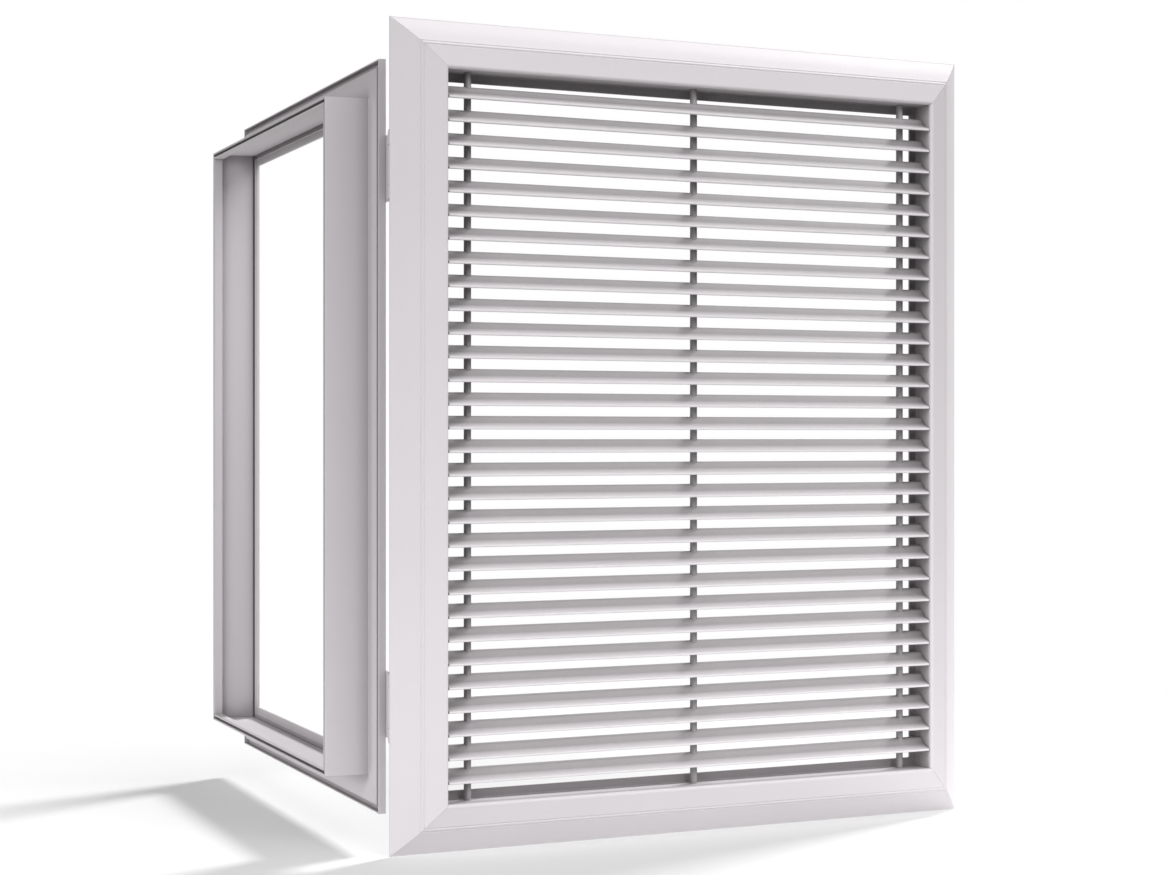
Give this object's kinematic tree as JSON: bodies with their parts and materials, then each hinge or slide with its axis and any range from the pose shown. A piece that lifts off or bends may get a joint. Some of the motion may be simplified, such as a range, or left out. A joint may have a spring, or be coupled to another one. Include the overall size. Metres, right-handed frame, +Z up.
{
  "type": "hinged linear bar air grille",
  "caption": "Return air grille: a mitred border with fixed horizontal blades, hinged at its left side to a flanged rear frame that fits a duct or wall opening.",
  "frame": {"origin": "centre of the rear frame's neck in the wall plane, which is the back face of its flange", "axes": "+X to the right seen from the room, +Y into the duct away from the room, +Z up"},
  "size_m": [0.3627, 0.3925, 0.45],
  "materials": {
    "frame_coat": "satin white powder coat",
    "border_coat": "satin white powder coat",
    "blade_coat": "satin white powder coat",
    "rod_coat": "satin white coat",
    "hinge_coat": "satin white coat over steel",
    "rivet_steel": "drawn bright steel",
    "spring_steel": "dull spring steel",
    "plated_steel": "zinc plated",
    "magnet": "matt flexible magnet block"
  },
  "bodies": {
    "rear_frame": {"frame_top_member": "frame_coat", "frame_right_member": "frame_coat", "frame_bottom_member": "frame_coat", "frame_left_member": "frame_coat", "frame_corner_keys": "plated_steel", "hinge_rivets_frame_side": "rivet_steel", "upper_hinge_frame_leaf": "hinge_coat", "upper_hinge_pin": "rivet_steel", "lower_hinge_frame_leaf": "hinge_coat", "lower_hinge_pin": "rivet_steel", "upper_strike_plate": "plated_steel", "lower_strike_plate": "plated_steel"},
    "door": {"border_top_member": "border_coat", "border_right_member": "border_coat", "border_bottom_member": "border_coat", "border_left_member": "border_coat", "blade_01": "blade_coat", "blade_02": "blade_coat", "blade_03": "blade_coat", "blade_04": "blade_coat", "blade_05": "blade_coat", "blade_06": "blade_coat", "blade_07": "blade_coat", "blade_08": "blade_coat", "blade_09": "blade_coat", "blade_10": "blade_coat", "blade_11": "blade_coat", "blade_12": "blade_coat", "blade_13": "blade_coat", "blade_14": "blade_coat", "blade_15": "blade_coat", "blade_16": "blade_coat", "blade_17": "blade_coat", "blade_18": "blade_coat", "blade_19": "blade_coat", "blade_20": "blade_coat", "blade_21": "blade_coat", "blade_22": "blade_coat", "blade_23": "blade_coat", "blade_24": "blade_coat", "blade_25": "blade_coat", "blade_26": "blade_coat", "blade_27": "blade_coat", "blade_28": "blade_coat", "blade_29": "blade_coat", "blade_30": "blade_coat", "mandrel_rod_left": "rod_coat", "mandrel_rod_centre": "rod_coat", "mandrel_rod_right": "rod_coat", "rod_retainers": "spring_steel", "door_corner_keys": "plated_steel", "hinge_rivets_door_side": "rivet_steel", "upper_hinge_door_leaf": "hinge_coat", "lower_hinge_door_leaf": "hinge_coat", "upper_catch_magnet": "magnet", "lower_catch_magnet": "magnet"}
  },
  "joints": [
    {"name": "door_hinge", "type": "hinge", "parent": "rear_frame", "child": "door", "pos_m": [-0.18235, -0.00265, 0], "axis": [0, 0, 1], "range_deg": [-7.2, 82.8]}
  ]
}
